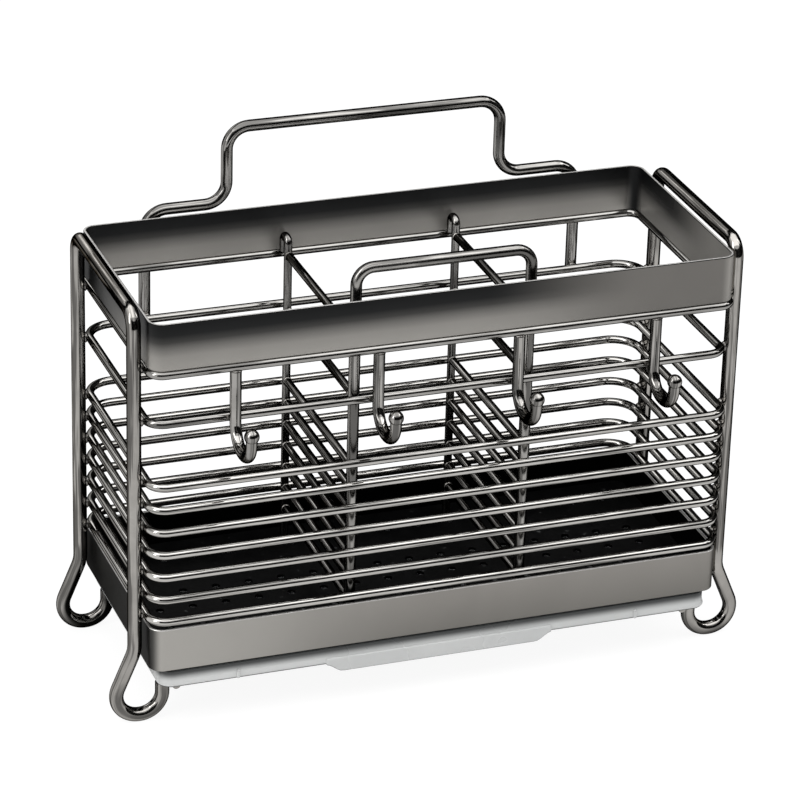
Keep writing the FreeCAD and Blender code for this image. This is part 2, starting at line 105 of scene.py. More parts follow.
def apply_modifier(piece, kind, **settings):
    """Finishes a piece with one modifier."""
    modifier = piece.modifiers.new(kind.lower(), kind)
    for name, value in settings.items():
        setattr(modifier, name, value)
    bpy.context.view_layer.objects.active = piece
    bpy.ops.object.modifier_apply(modifier=modifier.name)


def join_pieces(main, *others):
    """Joins loose pieces into the main one."""
    bpy.ops.object.select_all(action="DESELECT")
    for piece in (main, *others):
        piece.select_set(True)
    bpy.context.view_layer.objects.active = main
    bpy.ops.object.join()


def soften(piece):
    """Smooth shading that leaves the large faces flat."""
    bpy.ops.object.select_all(action="DESELECT")
    piece.select_set(True)
    bpy.context.view_layer.objects.active = piece
    bpy.ops.object.shade_smooth()
    apply_modifier(piece, "WEIGHTED_NORMAL", keep_sharp=False)


def make_band(name, node):
    """Bends a strip round the node's box, with eased edges and a weld seam down its back."""
    low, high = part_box(node)
    band = add_block(name, low, high)
    pick(band, "FACE", lambda face: abs(face.normal.z) > 0.5)
    bpy.ops.mesh.delete(type="ONLY_FACE")
    bpy.ops.object.mode_set(mode="OBJECT")
    pick(band, "EDGE", lambda edge: is_upright(band, edge))
    bpy.ops.mesh.bevel(offset=band_corner, segments=band_corner_facets, affect="EDGES")
    bpy.ops.object.mode_set(mode="OBJECT")
    apply_modifier(band, "SOLIDIFY", thickness=band_thickness, offset=-1)
    apply_modifier(band, "BEVEL", width=band_edge_round, segments=band_edge_facets,
                   limit_method="ANGLE", angle_limit=band_edge_angle)
    seam_low = Vector((-seam_width / 2, high.y - band_thickness / 2, low.z + band_edge_round))
    seam_high = Vector((seam_width / 2, high.y + seam_proud, high.z - band_edge_round))
    seam = add_block(name + "_seam", seam_low, seam_high)
    apply_modifier(seam, "BEVEL", width=seam_proud, segments=seam_facets)
    join_pieces(band, seam)
    soften(band)
    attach(band, "basket")
    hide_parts(node)
    return band


def add_node(tree, kind, values=(), **settings):
    """A shader node with its settings and the values of its sockets."""
    item = tree.nodes.new(kind)
    for name, value in settings.items():
        setattr(item, name, value)
    for socket, value in dict(values).items():
        item.inputs[socket].default_value = value
    return item


def new_group(name, inputs, outputs):
    """An empty shader node group with named sockets, and its two end nodes."""
    group = bpy.data.node_groups.new(name, "ShaderNodeTree")
    for socket, kind in inputs:
        group.interface.new_socket(socket, in_out="INPUT", socket_type=kind)
    for socket, kind in outputs:
        group.interface.new_socket(socket, in_out="OUTPUT", socket_type=kind)
    return group, add_node(group, "NodeGroupInput"), add_node(group, "NodeGroupOutput")


def make_satin_grain():
    """Fine marks of grinding or drawing, which run along the directions of least stretch."""
    group, given, result = new_group("satin_grain", [("Stretch", "NodeSocketVector")],
                                     [("Grain", "NodeSocketFloat")])
    place = add_node(group, "ShaderNodeTexCoord")
    stretched = add_node(group, "ShaderNodeVectorMath", operation="MULTIPLY")
    lines = add_node(group, "ShaderNodeTexNoise", {"Scale": 1.0, "Detail": 3.0, "Roughness": 0.6})
    group.links.new(place.outputs["Object"], stretched.inputs[0])
    group.links.new(given.outputs["Stretch"], stretched.inputs[1])
    group.links.new(stretched.outputs["Vector"], lines.inputs["Vector"])
    group.links.new(lines.outputs["Fac"], result.inputs["Grain"])
    return group


def make_handling_film():
    """Soft blotches of water marks and finger grease."""
    group, given, result = new_group("handling_film", [("Blotch Scale", "NodeSocketFloat")],
                                     [("Film", "NodeSocketFloat")])
    place = add_node(group, "ShaderNodeTexCoord")
    blotches = add_node(group, "ShaderNodeTexNoise",
                        {"Detail": 4.0, "Roughness": 0.55, "Distortion": 0.6})
    spread = add_node(group, "ShaderNodeMapRange", {"From Min": 0.35, "From Max": 0.7})
    group.links.new(place.outputs["Object"], blotches.inputs["Vector"])
    group.links.new(given.outputs["Blotch Scale"], blotches.inputs["Scale"])
    group.links.new(blotches.outputs["Fac"], spread.inputs["Value"])
    group.links.new(spread.outputs["Result"], result.inputs["Film"])
    return group


satin_grain = make_satin_grain()
handling_film = make_handling_film()


def new_material(name):
    """A node material: itself, its tree and its shader."""
    material = bpy.data.materials.new(name)
    material.use_nodes = True
    return material, material.node_tree, material.node_tree.nodes["Principled BSDF"]


def add_marks(tree, stretch):
    """Grain placed in a material with its own stretch."""
    item = add_node(tree, "ShaderNodeGroup", node_tree=satin_grain)
    item.inputs["Stretch"].default_value = stretch
    return item.outputs["Grain"]


def add_film(tree, blotch_scale):
    """Handling film placed in a material with its own size of blotches."""
    item = add_node(tree, "ShaderNodeGroup", node_tree=handling_film)
    item.inputs["Blotch Scale"].default_value = blotch_scale
    return item.outputs["Film"]


def add_bump(tree, shader, height, strength, depth):
    """Lets a pattern stand out of the surface."""
    bump = add_node(tree, "ShaderNodeBump", {"Strength": strength, "Distance": depth})
    tree.links.new(height, bump.inputs["Height"])
    tree.links.new(bump.outputs["Normal"], shader.inputs["Normal"])


def axes_of(tree, coordinate):
    """The X, Y and Z of Object, which is the place, or of Normal, which is the way a face looks."""
    source = add_node(tree, "ShaderNodeTexCoord")
    axes = add_node(tree, "ShaderNodeSeparateXYZ")
    tree.links.new(source.outputs[coordinate], axes.inputs["Vector"])
    return axes.outputs


def span(tree, source, start, end, low=0.0, high=1.0, smooth=True):
    """Maps a value from one range to another, held at its ends."""
    item = add_node(tree, "ShaderNodeMapRange",
                    {"From Min": start, "From Max": end, "To Min": low, "To Max": high},
                    interpolation_type="SMOOTHSTEP" if smooth else "LINEAR")
    tree.links.new(source, item.inputs["Value"])
    return item.outputs["Result"]


def both(tree, first, second):
    """A mask that holds where two masks do."""
    item = add_node(tree, "ShaderNodeMath", operation="MULTIPLY")
    tree.links.new(first, item.inputs[0])
    tree.links.new(second, item.inputs[1])
    return item.outputs["Value"]


def mix_colours(tree, share, first, second, blend="MIX"):
    """Two colours, or links, mixed by a share."""
    item = add_node(tree, "ShaderNodeMix", data_type="RGBA", blend_type=blend)
    for socket, value in (("Factor", share), ("A", first), ("B", second)):
        if isinstance(value, bpy.types.NodeSocket):
            tree.links.new(value, item.inputs[socket])
        else:
            item.inputs[socket].default_value = value
    return item.outputs["Result"]


def band_steel(name, low, high, bottom, top, between=()):
    """Starts a band's satin steel: its parts, its axes and a painted reflection that changes up the
    strip.
    """
    material, tree, shader = new_material(name)
    place = axes_of(tree, "Object")
    tint = add_node(tree, "ShaderNodeValToRGB")
    stops = tint.color_ramp.elements
    stops[0].color = bottom
    stops[1].color = top
    for share, colour in between:
        stops.new(share).color = colour
    tree.links.new(span(tree, place["Z"], low.z, high.z, smooth=False), tint.inputs["Fac"])
    return material, tree, shader, place, tint.outputs["Color"]


def finish_band(tree, shader, place, colour, top, edge_colour, metal_share):
    """Belt lines, film, bump, the given colour on the eased top edge and a painted highlight on the
    flat top, which both bands share.
    """
    grain = add_marks(tree, belt_lines)
    film = add_film(tree, band_blotches)
    line_share = span(tree, grain, *belt_line_limits, 0.0, belt_line_share)
    lined = mix_colours(tree, line_share, colour, MID_GREY, "OVERLAY")
    eased = span(tree, place["Z"], *(top - band_edge_round * share for share in eased_shares))
    with_round = mix_colours(tree, eased, lined, edge_colour)
    # Painted highlight on the flat top of the strip.
    painted_top_highlight = span(tree, axes_of(tree, "Normal")["Z"], *flat_top_limits)
    tree.links.new(mix_colours(tree, painted_top_highlight, with_round, PAINTED_EDGE_HIGHLIGHT), shader.inputs["Base Color"])
    tree.links.new(span(tree, film, 0.0, 1.0, *band_roughness), shader.inputs["Roughness"])
    add_bump(tree, shader, grain, belt_bump_strength, belt_bump_depth)
    shader.inputs["Metallic"].default_value = metal_share
    shader.inputs["Specular Tint"].default_value = BAND_GLINT


# Painted reflection on the rim: pale at the bottom, through warm and bronze greys, to near black at
# the top.
PAINTED_DARK_TOP = (0.007, 0.0074, 0.0078, 1)
PAINTED_SHADE_GREY = (0.013, 0.0134, 0.0138, 1)
BRONZE_SHADE = (0.048, 0.047, 0.045, 1)
BRONZE_GREY = (0.128, 0.124, 0.117, 1)
WARM_GREY = (0.25, 0.241, 0.225, 1)
PALE_GREY = (0.31, 0.298, 0.278, 1)
FLAT_GREY = (0.152, 0.145, 0.135, 1)
PAINTED_DARK_EDGE = (0.006, 0.006, 0.006, 1)
painted_rim_tones = [(0.3, WARM_GREY), (0.49, BRONZE_GREY), (0.6, BRONZE_SHADE), (0.75, PAINTED_SHADE_GREY)]
# Painted patches: a lighter patch on the right of the front, a highlight on the right end, shade on
# the left end.
painted_light_front = ((0.012, 0.074), (0.02, -0.03), FLAT_GREY)
painted_highlight_right_end = ((0.099, 0.1035), (0.025, -0.028), PALE_GREY)
painted_shade_left_end = ((-0.1015, -0.1045), (-0.03, 0.03), PAINTED_SHADE_GREY)
bend_shares = (1.3, 0.5)
rim_metal = 0.55
rim_low, rim_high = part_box("top_band")
rim_band = make_band("rim_band", "top_band")
rim_steel, tree, shader, place, rim_colour = band_steel("rim_steel_painted_reflection", rim_low, rim_high,
                                                        PALE_GREY, PAINTED_DARK_TOP, painted_rim_tones)
for x_limits, y_limits, colour in (painted_light_front, painted_highlight_right_end, painted_shade_left_end):
    patch = both(tree, span(tree, place["X"], *x_limits), span(tree, place["Y"], *y_limits))
    rim_colour = mix_colours(tree, patch, rim_colour, colour)
# Painted shade at the back bends of the rim.
either_end = add_node(tree, "ShaderNodeMath", operation="ABSOLUTE")
tree.links.new(place["X"], either_end.inputs[0])
bend_x = span(tree, either_end.outputs["Value"],
              *(rim_high.x - band_corner * share for share in bend_shares))
bend_y = span(tree, place["Y"],
              *(rim_high.y - band_corner * share for share in bend_shares))
rim_colour = mix_colours(tree, both(tree, bend_x, bend_y), rim_colour, PAINTED_SHADE_GREY)
# The rim's eased top edge is painted near black, as painted shade.
finish_band(tree, shader, place, rim_colour, rim_high.z, PAINTED_DARK_EDGE, rim_metal)
rim_band.data.materials.append(rim_steel)

# Bottom band: a second strip ring, round the floor of the basket, bent and welded as the rim is.
# Its colour is painted reflection, lighter upwards, with a painted highlight on the left of its face,
# painted shade on its left end and on its inside, and a painted highlight along its eased top edge.
FLOOR_BAND_LOW = (0.175, 0.168, 0.155, 1)
FLOOR_BAND_HIGH = (0.255, 0.243, 0.226, 1)
FLOOR_BAND_PAINTED_LEFT = (0.36, 0.348, 0.326, 1)
PAINTED_SHADE_END = (0.045, 0.044, 0.042, 1)
PAINTED_INSIDE_SHADE = (0.006, 0.006, 0.006, 1)
lighter_x = (0.0, -0.1)
painted_shade_end_x = (-0.1015, -0.1045)
inside_limits = (0.001, -0.001)
floor_band_metal = 0.85


def outwards_of(tree, middle):
    """How far a face lies from the middle along its normal, which is below 0 on an inner side."""
    source = add_node(tree, "ShaderNodeTexCoord")
    from_middle = add_node(tree, "ShaderNodeVectorMath", operation="SUBTRACT")
    outwards = add_node(tree, "ShaderNodeVectorMath", operation="DOT_PRODUCT")
    from_middle.inputs[1].default_value = middle
    tree.links.new(source.outputs["Object"], from_middle.inputs[0])
    tree.links.new(from_middle.outputs["Vector"], outwards.inputs[0])
    tree.links.new(source.outputs["Normal"], outwards.inputs[1])
    return outwards.outputs["Value"]


floor_low, floor_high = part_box("bottom_band")
floor_band = make_band("floor_band", "bottom_band")
floor_steel, tree, shader, place, floor_painted_gradient = band_steel("satin_floor_band_steel",
                                                          floor_low, floor_high,
                                                          FLOOR_BAND_LOW, FLOOR_BAND_HIGH)
# Painted highlight on the left of the face, and painted shade on the left end and on the inside.
lit_left = mix_colours(tree, span(tree, place["X"], *lighter_x), floor_painted_gradient, FLOOR_BAND_PAINTED_LEFT)
painted_shade_end = mix_colours(tree, span(tree, place["X"], *painted_shade_end_x), lit_left, PAINTED_SHADE_END)
inside = span(tree, outwards_of(tree, (floor_low + floor_high) / 2), *inside_limits)
floor_band_colour = mix_colours(tree, inside, painted_shade_end, PAINTED_INSIDE_SHADE)
# The floor band's eased top edge gets a painted highlight.
finish_band(tree, shader, place, floor_band_colour, floor_high.z, PAINTED_EDGE_HIGHLIGHT, floor_band_metal)
floor_band.data.materials.append(floor_steel)

# Ring wires: nine hoops of polished stainless wire, the body of the basket, the upper two with a
# darker copy as painted shade.
# Each hoop is bent round a former, butt welded and spot welded to the four legs.
RING_PALE = (0.48, 0.468, 0.448, 1)
RING_DARK = (0.4, 0.39, 0.372, 1)
PAINTED_SHADE_RING_PALE = (0.33, 0.322, 0.308, 1)
PAINTED_SHADE_RING_DARK = (0.26, 0.254, 0.243, 1)
WIRE_GLINT = (0.04, 0.04, 0.04, 1)
ring_count = 9
ring_names = [f"ring_wire_{number}" for number in range(1, ring_count + 1)]
ring_roughness = (0.07, 0.11)
ring_lines = (20.0, 20.0, 1400.0)
even_marks = (900.0, 900.0, 900.0)
faint_lines = (0.5, 0.64)
line_share = 0.85
line_tone = 0.3
wire_blotches = 55.0
wire_bump_strength = 0.05
wire_bump_depth = 0.0002
foot_blend = 0.8


def wire_steel(name, pale, dark, roughness, stretch=even_marks, line_limits=faint_lines, foot=None):
    """Polished drawn wire: a soft change of tone, a handling film and dark drawn lines.

    The lines run along a wire that is bent in one plane if they are stretched only across that plane.
    A foot that is bent in another plane has its own stretch below its height."""
    material, tree, shader = new_material(name)
    film = add_film(tree, wire_blotches)
    marks = add_marks(tree, stretch)
    if foot:
        foot_stretch, foot_height = foot
        below = span(tree, axes_of(tree, "Object")["Z"], foot_height, foot_height * foot_blend)
        marks = mix_colours(tree, below, marks, add_marks(tree, foot_stretch))
    filmed = mix_colours(tree, film, pale, dark)
    lines = span(tree, marks, *line_limits, 0.0, line_share)
    line_colour = tuple(line_tone * value for value in dark[:3]) + (1,)
    tree.links.new(mix_colours(tree, lines, filmed, line_colour), shader.inputs["Base Color"])
    tree.links.new(span(tree, film, 0.0, 1.0, *roughness), shader.inputs["Roughness"])
    add_bump(tree, shader, marks, wire_bump_strength, wire_bump_depth)
    shader.inputs["Metallic"].default_value = 1.0
    shader.inputs["Specular Tint"].default_value = WIRE_GLINT
    return material


def dress(names, material):
    """Gives CAD nodes a finish."""
    for name in names:
        frame["nodes"][name].material_slots[0].material = material


# The upper two hoops get a darker copy of the same steel: painted shade.
painted_shade_ring_steel = wire_steel("painted_shade_ring_wire", PAINTED_SHADE_RING_PALE, PAINTED_SHADE_RING_DARK,
                               ring_roughness, ring_lines)
ring_steel = wire_steel("polished_ring_wire", RING_PALE, RING_DARK, ring_roughness, ring_lines)
dress(ring_names[:2], painted_shade_ring_steel)
dress(ring_names[2:], ring_steel)

# Floor plate: a black coated sheet with rows of drain holes, lying inside the bottom band.
# The coating is a thin satin enamel with fine pits and a few pale specks painted as glints.
ENAMEL = (0.002, 0.002, 0.0021, 1)
PAINTED_GLINT = (0.1, 0.103, 0.103, 1)
pit_marks = (700.0, 700.0, 700.0)
glint_marks = (330.0, 330.0, 330.0)
glint_limits = (0.68, 0.74)
glint_share = 0.6
plate_blotches = 160.0
plate_roughness = (0.42, 0.6)
pit_strength = 0.2
pit_depth = 0.0002
plate_gloss = 0.1
plate_enamel, tree, shader = new_material("black_plate_enamel")
film = add_film(tree, plate_blotches)
# Pale specks painted on the enamel stand in for glints.
specks = span(tree, add_marks(tree, glint_marks), *glint_limits, 0.0, glint_share)
tree.links.new(mix_colours(tree, specks, ENAMEL, PAINTED_GLINT), shader.inputs["Base Color"])
tree.links.new(span(tree, film, 0.0, 1.0, *plate_roughness), shader.inputs["Roughness"])
add_bump(tree, shader, add_marks(tree, pit_marks), pit_strength, pit_depth)
shader.inputs["Specular IOR Level"].default_value = plate_gloss
dress(["floor_plate"], plate_enamel)

# Leg frames: one thick wire at each end, bent into a bar, two legs and two foot loops.
# They stand outside the rings and are spot welded to every hoop.
LEG_PALE = (0.37, 0.356, 0.336, 1)
LEG_DARK = (0.26, 0.25, 0.236, 1)
leg_roughness = (0.09, 0.14)
leg_lines = (1000.0, 20.0, 20.0)
foot_lines = (20.0, 1000.0, 20.0)
foot_height = 0.038
clear_lines = (0.44, 0.56)
leg_steel = wire_steel("polished_leg_wire", LEG_PALE, LEG_DARK, leg_roughness, leg_lines, clear_lines,
                       (foot_lines, foot_height))
dress(["leg_frame_left", "leg_frame_right"], leg_steel)

# Back handle: a hat-shaped wire behind the basket, for carrying it or hanging it from a rail.
# Its two posts are welded to the first and second hoops.
HANDLE_PALE = (0.32, 0.311, 0.297, 1)
HANDLE_DARK = (0.22, 0.214, 0.205, 1)
handle_roughness = (0.09, 0.14)
handle_lines = (20.0, 1000.0, 20.0)
handle_steel = wire_steel("polished_handle_wire", HANDLE_PALE, HANDLE_DARK, handle_roughness,
                          handle_lines, clear_lines)
dress(["back_handle"], handle_steel)

# Hooks: four J wires with ball tips along the front, for spoons and ladles.
# Each is welded under the first hoop and against the second.
HOOK_PALE = (0.4, 0.388, 0.37, 1)
HOOK_DARK = (0.24, 0.233, 0.222, 1)
hook_count = 4
hook_names = [f"hook_{number}" for number in range(1, hook_count + 1)]
hook_roughness = (0.08, 0.13)
hook_lines = (1000.0, 20.0, 20.0)
hook_steel = wire_steel("polished_hook_wire", HOOK_PALE, HOOK_DARK, hook_roughness, hook_lines,
                        clear_lines)
dress(hook_names, hook_steel)

# Basket welds: small beads of melted steel where the wires cross or meet.
# They are left bright and a little uneven by the spot welder.
WELD_PALE = (0.36, 0.345, 0.325, 1)
WELD_DARK = (0.1, 0.096, 0.09, 1)
weld_roughness = (0.25, 0.42)
bead_radius = 0.002
bead_segments = 10
bead_rings = 7
bead_unevenness = 0.00012
bead_seed = 4
bead_turn = 2.4
leg_wire = 0.005
hook_wire = 0.004
leg_bead = (0.0011, 0.0017, 0.0019)
hook_top_bead = (0.0021, 0.0019, 0.0008)
hook_side_bead = (0.0017, 0.0009, 0.0017)
handle_bead = (0.0017, 0.001, 0.0017)


def make_welds(name, beads, body):
    """Models one uneven bead, and copies it to each place with its own half sizes.

    A bead that is round about Y is turned about Y, a little more than the one before it."""
    bpy.ops.object.select_all(action="DESELECT")
    bpy.ops.mesh.primitive_uv_sphere_add(segments=bead_segments, ring_count=bead_rings,
                                         radius=bead_radius)
    first = bpy.context.active_object
    first.name = name
    first.data.name = name
    bpy.ops.object.mode_set(mode="EDIT")
    bpy.ops.mesh.select_all(action="SELECT")
    bpy.ops.transform.vertex_random(offset=bead_unevenness, uniform=1.0, seed=bead_seed)
    bpy.ops.object.mode_set(mode="OBJECT")
    copies = []
    for number, (spot, half_sizes) in enumerate(beads):
        bead = first.copy()
        bead.data = first.data.copy()
        bead.location = spot
        bead.scale = [half / bead_radius for half in half_sizes]
        bead.rotation_euler.y = bead_turn * number if half_sizes[0] == half_sizes[2] else 0.0
        bpy.context.scene.collection.objects.link(bead)
        copies.append(bead)
    bpy.data.objects.remove(first)
    welds = copies[0]
    join_pieces(welds, *copies[1:])
    bpy.ops.object.transform_apply(location=True, rotation=True, scale=True)
    bpy.ops.object.shade_smooth()
    welds.name = name
    welds.data.name = name
    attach(welds, body)
    return welds


ring_boxes = [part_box(name) for name in ring_names]
ring_levels = [(low.z + high.z) / 2 for low, high in ring_boxes]
ring_reach = ring_boxes[0][1].x
leg_low, leg_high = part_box("leg_frame_right")
leg_places = (leg_low.y + leg_wire / 2, leg_high.y - leg_wire / 2)
basket_beads = [(Vector((side * ring_reach, leg_place, level)), leg_bead)
                for level in ring_levels for side in (-1, 1) for leg_place in leg_places]
for name in hook_names:
    low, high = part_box(name)
    hook_middle = (low.x + high.x) / 2
    basket_beads.append((Vector((hook_middle, high.y - hook_wire / 2, high.z)), hook_top_bead))
    basket_beads.append((Vector((hook_middle, high.y, ring_levels[1])), hook_side_bead))
handle_low, handle_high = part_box("back_handle")
handle_post = handle_high.x - (handle_high.y - handle_low.y) / 2
basket_beads += [(Vector((side * handle_post, handle_low.y, level)), handle_bead)
                 for level in ring_levels[:2] for side in (-1, 1)]
basket_welds = make_welds("basket_welds", basket_beads, "basket")
weld_steel = wire_steel("weld_bead_steel", WELD_PALE, WELD_DARK, weld_roughness)
basket_welds.data.materials.append(weld_steel)

# Divider insert: a pull loop whose legs are the front posts, two back posts with cane tops,
# and straight cross wires resistance welded between them. It lifts out in one piece.
INSERT_PALE = (0.29, 0.282, 0.27, 1)
INSERT_DARK = (0.18, 0.175, 0.168, 1)
LOOP_PALE = (0.39, 0.379, 0.362, 1)
LOOP_DARK = (0.25, 0.243, 0.232, 1)
insert_names = frame["record"]["behaviour"]["bodies"]["divider_insert"]
insert_roughness = (0.1, 0.16)
insert_lines = (1000.0, 20.0, 20.0)
loop_roughness = (0.16, 0.24)
loop_lines = (20.0, 1000.0, 20.0)
cross_wire_count = 9
insert_bead = (0.0018, 0.0008, 0.0018)
insert_steel = wire_steel("polished_insert_wire", INSERT_PALE, INSERT_DARK, insert_roughness,
                          insert_lines, clear_lines)
loop_steel = wire_steel("polished_loop_wire", LOOP_PALE, LOOP_DARK, loop_roughness, loop_lines,
                        clear_lines)
dress(insert_names, insert_steel)
dress(["divider_loop"], loop_steel)
insert_beads = []
for side in ("left", "right"):
    for number in range(1, cross_wire_count + 1):
        low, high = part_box(f"divider_wire_{side}_{number}")
        wire_middle = (low + high) / 2
        for wire_end in (low.y, high.y):
            insert_beads.append((Vector((wire_middle.x, wire_end, wire_middle.z)), insert_bead))
insert_welds = make_welds("insert_welds", insert_beads, "divider_insert")
insert_welds.data.materials.append(weld_steel)

# Tray runners: two straight wires under the basket that carry the drip tray.
# They are welded between the inner ends of the foot loops.
runner_roughness = (0.2, 0.3)
runner_steel = wire_steel("polished_runner_wire", LEG_PALE, LEG_DARK, runner_roughness)
dress(["tray_runner_left", "tray_runner_right"], runner_steel)

# Drip tray: a shallow tray of frosted plastic, moulded in one piece, that slides out to the front.
# Its wall has a bead along the bottom, a shallow cove and a rounded rim, with a deeper lip as a grip.
# It looks dark where the bottom band shades its wall, and on its underside.
tray_wall = 0.0015
tray_corner = 0.006
tray_corner_facets = 10
tray_bead = 0.0013
tray_cove = 0.0004
cove_shares = [(0.5, 0.3), (1.0, 0.45)]
tray_rim = 0.0006
tray_fillet = 0.001
round_steps = 5
grip_drop = 0.003
grip_width = 0.072
grip_step = 0.006
grip_thickness = 0.002
grip_proud = 0.0004
grip_top_share = 0.4
grip_top_gap = 0.0001
grip_columns = 64
grip_round = 0.0005
grip_round_angle = math.radians(60)
rib_proud = 0.0005
rib_width = 0.0012
rib_height = 0.0036
rib_lift = 0.0004
rib_spacing = 0.148
rib_round = 0.0004
small_round_facets = 3
tray_low, tray_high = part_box("drip_tray")
tray_front = tray_low.y + rib_proud
tray_base = tray_low.z + grip_drop
tray_length = tray_high.x - tray_low.x
tray_depth = tray_high.y - tray_front
tray_height = tray_high.z - tray_base
tray_middle = Vector((0.0, (tray_front + tray_high.y) / 2, tray_base))


def quarter_turn(steps):
    """The sine and cosine of each step of a quarter turn."""
    return [(math.sin(math.pi / 2 * step / steps), math.cos(math.pi / 2 * step / steps))
            for step in range(steps + 1)]


def unite(main, other):
    """Melts a piece into the main one."""
    apply_modifier(main, "BOOLEAN", object=other, operation="UNION", solver="EXACT")
    bpy.data.objects.remove(other)


wall_profile = [(tray_bead * (1 - s), tray_bead * (1 - c)) for s, c in quarter_turn(round_steps)]
wall_profile += [(tray_cove * inset, tray_height * rise) for inset, rise in cove_shares]
wall_profile += [(tray_cove + tray_rim * (1 - c), tray_height - tray_rim * (1 - s))
                 for s, c in quarter_turn(round_steps)]
wall_inside = tray_cove + tray_wall
wall_profile += [(wall_inside - tray_rim * (1 - s), tray_height - tray_rim * (1 - c))
                 for s, c in quarter_turn(round_steps)]
wall_profile += [(wall_inside + tray_fillet * (1 - c), tray_wall + tray_fillet * (1 - s))
                 for s, c in quarter_turn(round_steps)]
bpy.ops.object.select_all(action="DESELECT")
bpy.ops.mesh.primitive_plane_add(size=1, location=tray_middle)
tray = bpy.context.active_object
tray.name = "moulded_tray"
tray.data.name = "moulded_tray"
tray.scale = (tray_length - 2 * tray_bead, tray_depth - 2 * tray_bead, 1)
bpy.ops.object.transform_apply(location=True, rotation=True, scale=True)
bpy.ops.object.mode_set(mode="EDIT")
bpy.ops.mesh.select_all(action="SELECT")
bpy.ops.mesh.bevel(affect="VERTICES", offset=tray_corner - tray_bead, segments=tray_corner_facets)
bpy.ops.mesh.select_all(action="SELECT")
for (inset, rise), (next_inset, next_rise) in zip(wall_profile, wall_profile[1:]):
    bpy.ops.mesh.extrude_region_move(TRANSFORM_OT_translate={"value": (0, 0, next_rise - rise)})
    bpy.ops.transform.resize(value=((tray_length - 2 * next_inset) / (tray_length - 2 * inset),
                                    (tray_depth - 2 * next_inset) / (tray_depth - 2 * inset), 1))
bpy.ops.mesh.select_all(action="SELECT")
bpy.ops.mesh.normals_make_consistent(inside=False)
bpy.ops.object.mode_set(mode="OBJECT")

grip_top = tray_base + tray_height * grip_top_share
grip_middle = (grip_top + tray_base) / 2
grip_length = grip_width + 2 * grip_step
bpy.ops.object.select_all(action="DESELECT")
bpy.ops.mesh.primitive_grid_add(x_subdivisions=grip_columns, y_subdivisions=1, size=1,
                                location=(0, tray_front - grip_proud, grip_middle),
                                rotation=(math.pi / 2, 0, 0))
grip = bpy.context.active_object
grip.name = "tray_grip"
grip.scale = (grip_length, grip_top - tray_base - grip_top_gap, 1)
bpy.ops.object.transform_apply(location=True, rotation=True, scale=True)
for vertex in grip.data.vertices:
    if vertex.co.z < grip_middle:
        share = min(1.0, (grip_length / 2 - abs(vertex.co.x)) / grip_step)
        vertex.co.z -= grip_drop * share * share * (3 - 2 * share)
apply_modifier(grip, "SOLIDIFY", thickness=grip_thickness, offset=-1)
apply_modifier(grip, "BEVEL", width=grip_round, segments=small_round_facets,
               limit_method="ANGLE", angle_limit=grip_round_angle)
unite(tray, grip)
for side in (-1, 1):
    rib_middle = side * rib_spacing / 2
    rib_low = Vector((rib_middle - rib_width / 2, tray_low.y, tray_base + rib_lift))
    rib_high = Vector((rib_middle + rib_width / 2, tray_front + tray_wall / 2, tray_base + rib_height))
    rib = add_block("tray_rib", rib_low, rib_high)
    apply_modifier(rib, "BEVEL", width=rib_round, segments=small_round_facets)
    unite(tray, rib)
soften(tray)
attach(tray, "drip_tray")
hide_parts("drip_tray")

TRAY_PALE = (0.63, 0.638, 0.634, 1)
TRAY_MILKY = (0.54, 0.55, 0.547, 1)
TRAY_SHADED = (0.03, 0.033, 0.033, 1)
tray_blotches = 14.0
tray_roughness = (0.22, 0.36)
frosting_marks = (1500.0, 1500.0, 1500.0)
frosting_strength = 0.06
frosting_depth = 0.0002
shade_shares = (0.36, 0.86)
outer_wall_shares = (1.3, 3)
underside_limits = (-0.3, -0.55)
tray_ior = 1.49
tray_clearness = 0.12
tray_plastic, tree, shader = new_material("frosted_tray_plastic")
film = add_film(tree, tray_blotches)
milky = mix_colours(tree, film, TRAY_PALE, TRAY_MILKY)
under_the_band = span(tree, axes_of(tree, "Object")["Z"],
                      *(tray_base + tray_height * share for share in shade_shares))
outer_wall = span(tree, outwards_of(tree, tray_middle),
                  *(tray_height * share for share in outer_wall_shares))
shaded = mix_colours(tree, both(tree, under_the_band, outer_wall), milky, TRAY_SHADED)
underside = span(tree, axes_of(tree, "Normal")["Z"], *underside_limits)
tree.links.new(mix_colours(tree, underside, shaded, TRAY_SHADED), shader.inputs["Base Color"])
tree.links.new(span(tree, film, 0.0, 1.0, *tray_roughness), shader.inputs["Roughness"])
add_bump(tree, shader, add_marks(tree, frosting_marks), frosting_strength, frosting_depth)
shader.inputs["IOR"].default_value = tray_ior
shader.inputs["Transmission Weight"].default_value = tray_clearness
tray.data.materials.append(tray_plastic)

# Studio: a white floor that keeps a soft shadow, white surroundings, a large soft light above,
# a strip at each side and a fill and a strip behind.
# Black flags, which only reflections see, draw the dark edges of the metal.
WHITE = (1, 1, 1, 1)
FLOOR_MATT = (0.86, 0.86, 0.86, 1)
ROOM_GREY = (0.55, 0.55, 0.55, 1)
floor_size = 9.0
floor_glow = 1.06
floor_white_share = 0.87
bpy.ops.object.select_all(action="DESELECT")
bpy.ops.mesh.primitive_plane_add(size=floor_size)
studio_floor = bpy.context.active_object
studio_floor.name = "studio_floor"


def seen_directly(tree):
    """1 for rays from the camera and for reflections and refractions, and 0 for scattered light."""
    path = add_node(tree, "ShaderNodeLightPath")
    seen = path.outputs["Is Camera Ray"]
    for ray in ("Is Glossy Ray", "Is Transmission Ray"):
        either = add_node(tree, "ShaderNodeMath", operation="MAXIMUM")
        tree.links.new(seen, either.inputs[0])
        tree.links.new(path.outputs[ray], either.inputs[1])
        seen = either.outputs["Value"]
    return seen


